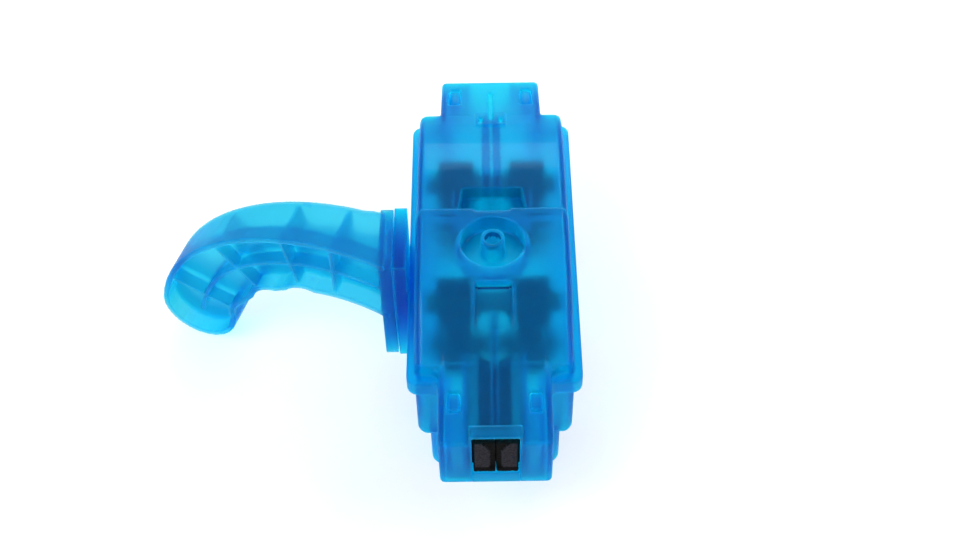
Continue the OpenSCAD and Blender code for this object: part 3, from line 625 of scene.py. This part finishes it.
def addMouth(mesh, front, outwards):
    work = bmesh.new()
    work.from_mesh(mesh)
    for outline, proud in foam["parts"]:
        rings = []
        for y in (front - proud, front + foam["root"]):
            rings.append([work.verts.new((outwards * x * mm, y, z * mm)) for x, z in outline])
        count = len(outline)
        faces = [work.faces.new(rings[0]), work.faces.new(rings[1])]
        for i in range(count):
            j = (i + 1) % count
            faces.append(work.faces.new((rings[0][i], rings[0][j], rings[1][j], rings[1][i])))
        bmesh.ops.recalc_face_normals(work, faces=faces)
    work.to_mesh(mesh)
    work.free()


def foamPaintedLight(back, z, normal):
    # painted light and shade: grey on the faces of the lobes, painted light on top where the roof
    # shows it, and painted shade, black, everywhere else
    if normal.z > 0.6 and back > 1 * mm:
        return foam["paintedLightLevels"]["top"]
    if back < -foam["lobeFace"] and z > foam["lobeFoot"] and normal.y < -0.6:
        return foam["paintedLightLevels"]["lobe"]
    return foam["paintedLightLevels"]["dark"]


def foamPad(name, node):
    low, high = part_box(node)
    outwards = 1 if low.x > 0 else -1
    inner, outer = sorted((abs(low.x), abs(high.x)))
    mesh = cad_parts[node].data.copy()
    weld(mesh)
    addMouth(mesh, low.y, outwards)
    piece = addPiece(name, mesh)
    grid = piece.modifiers.new("grid", "REMESH")
    grid.mode = "VOXEL"
    grid.voxel_size = foam["grid"]
    soften = piece.modifiers.new("soften", "SMOOTH")
    soften.factor = 0.5
    soften.iterations = foam["passes"]
    freeze(piece)
    mesh = piece.data
    # each point keeps its painted light and shade level
    tone = mesh.attributes.new("tone", "FLOAT", "POINT")
    normals = [v.normal.copy() for v in mesh.vertices]
    shareFrom, heightFrom = foam["teethFrom"]
    for vertex, normal in zip(mesh.vertices, normals):
        p = vertex.co
        pit = noise.noise(p * 1100) * 0.6 + noise.noise(p * 2300) * 0.4
        back = p.y - low.y
        height = (p.z - low.z) / (high.z - low.z)
        across = abs(p.x)
        share = (outer - across) / (outer - inner)
        if back > -0.3 * mm:
            # behind the lobes the pads press together, and the slit's edge is cut into teeth
            gap = max(0.0, height - foam["slitFrom"]) * foam["slitSlope"]
            across = min(across, outer - share * (outer - gap))
            if share > shareFrom and height > heightFrom:
                wave = 0.5 + 0.5 * math.sin(2 * math.pi * p.y / foam["teeth"])
                across += wave * foam["toothDepth"] * (share - shareFrom)
        move = -abs(pit) * foam["pits"] * foam["pitDepth"]
        vertex.co = Vector((outwards * across, p.y, p.z)) + normal * move
        tone.data[vertex.index].value = foamPaintedLight(back, vertex.co.z, normal)
    mesh.shade_smooth()
    setMaterial(piece, foamLook)
    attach(piece, "reservoir")
    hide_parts(node)
    print(name, len(mesh.polygons), "faces")


foamPad("leftFoamPad", "left_wiper")
foamPad("rightFoamPad", "right_wiper")


# ---- camera, light and floor

camera = {
    "place": (-0.0013, -0.3190, 0.4297),
    "aim": (0.0, 0.6293, -0.7771),
    "lens": 55.5,
    "sensor": 36,
    "roll": 0.8,    # degrees
}
lamps = {
    "keyLamp": {"place": (-0.5, -0.35, 0.8), "size": (0.5, 0.5), "power": 4.5},
    "fillLamp": {"place": (0.6, -0.1, 0.6), "size": (0.5, 0.6), "power": 2.5},
    "backLamp": {"place": (0.1, 0.7, 0.55), "size": (0.7, 0.3), "power": 2.5},
}
lampsAim = (0, 0, 0.04)
floorLook = {"radius": 3.0, "glow": 0.42}
worldLevel = (0.55, 1.0)    # on the object, and where it is seen


def makeCamera():
    data = bpy.data.cameras.new("camera")
    data.lens = camera["lens"]
    data.sensor_width = camera["sensor"]
    data.clip_start = 0.01
    eye = bpy.data.objects.new("camera", data)
    bpy.context.scene.collection.objects.link(eye)
    aim = Vector(camera["aim"]).normalized()
    right = aim.cross(Vector((0, 0, 1))).normalized()
    up = right.cross(aim)
    roll = math.radians(camera["roll"])
    upTurned = up * math.cos(roll) + right * math.sin(roll)
    rightTurned = right * math.cos(roll) - up * math.sin(roll)
    axes = Matrix((rightTurned, upTurned, -aim)).transposed()
    eye.matrix_world = Matrix.Translation(Vector(camera["place"])) @ axes.to_4x4()
    bpy.context.scene.camera = eye


def softLamp(name, look):
    data = bpy.data.lights.new(name, "AREA")
    data.shape = "RECTANGLE"
    data.size, data.size_y = look["size"]
    data.energy = look["power"]
    lamp = bpy.data.objects.new(name, data)
    bpy.context.scene.collection.objects.link(lamp)
    lamp.location = look["place"]
    lamp.rotation_mode = "QUATERNION"
    aim = Vector(lampsAim) - Vector(look["place"])
    lamp.rotation_quaternion = aim.to_track_quat("-Z", "Y")


def seenWhite(nodes, links):
    # 1 for what the camera, a reflection or a look through the plastic sees
    path = nodes.new("ShaderNodeLightPath")
    first = nodes.new("ShaderNodeMath")
    first.operation = "MAXIMUM"
    second = nodes.new("ShaderNodeMath")
    second.operation = "MAXIMUM"
    links.new(path.outputs["Is Camera Ray"], first.inputs[0])
    links.new(path.outputs["Is Glossy Ray"], first.inputs[1])
    links.new(first.outputs[0], second.inputs[0])
    links.new(path.outputs["Is Transmission Ray"], second.inputs[1])
    return second.outputs[0]


def makeFloor():
    work = bmesh.new()
    bmesh.ops.create_circle(work, cap_ends=True, segments=96, radius=floorLook["radius"])
    mesh = bpy.data.meshes.new("floor")
    work.to_mesh(mesh)
    work.free()
    floor = addPiece("floor", mesh)
    material, nodes, links, shader = newMaterial("paleFloor")
    grain = noiseOn(nodes, links, 40, 2)
    tone = ramp(nodes, links, grain.outputs["Fac"],
                (0.3, (0.60, 0.60, 0.61)), (0.7, (0.63, 0.63, 0.635)))
    links.new(tone, shader.inputs["Base Color"])
    shader.inputs["Roughness"].default_value = 0.9
    shader.inputs["Emission Color"].default_value = (1, 1, 1, 1)
    lift = nodes.new("ShaderNodeMath")
    lift.operation = "MULTIPLY"
    lift.inputs[1].default_value = floorLook["glow"]
    links.new(seenWhite(nodes, links), lift.inputs[0])
    links.new(lift.outputs[0], shader.inputs["Emission Strength"])
    setMaterial(floor, material)


def makeWorld():
    world = bpy.data.worlds.new("studio")
    bpy.context.scene.world = world
    world.use_nodes = True
    nodes, links = world.node_tree.nodes, world.node_tree.links
    back = next(n for n in nodes if n.type == "BACKGROUND")
    back.inputs["Color"].default_value = (1, 1, 1, 1)
    level = nodes.new("ShaderNodeMapRange")
    level.inputs["To Min"].default_value, level.inputs["To Max"].default_value = worldLevel
    links.new(seenWhite(nodes, links), level.inputs["Value"])
    links.new(level.outputs["Result"], back.inputs["Strength"])


makeCamera()
makeFloor()
makeWorld()
for name, look in lamps.items():
    softLamp(name, look)
bpy.context.scene.view_settings.view_transform = "Standard"
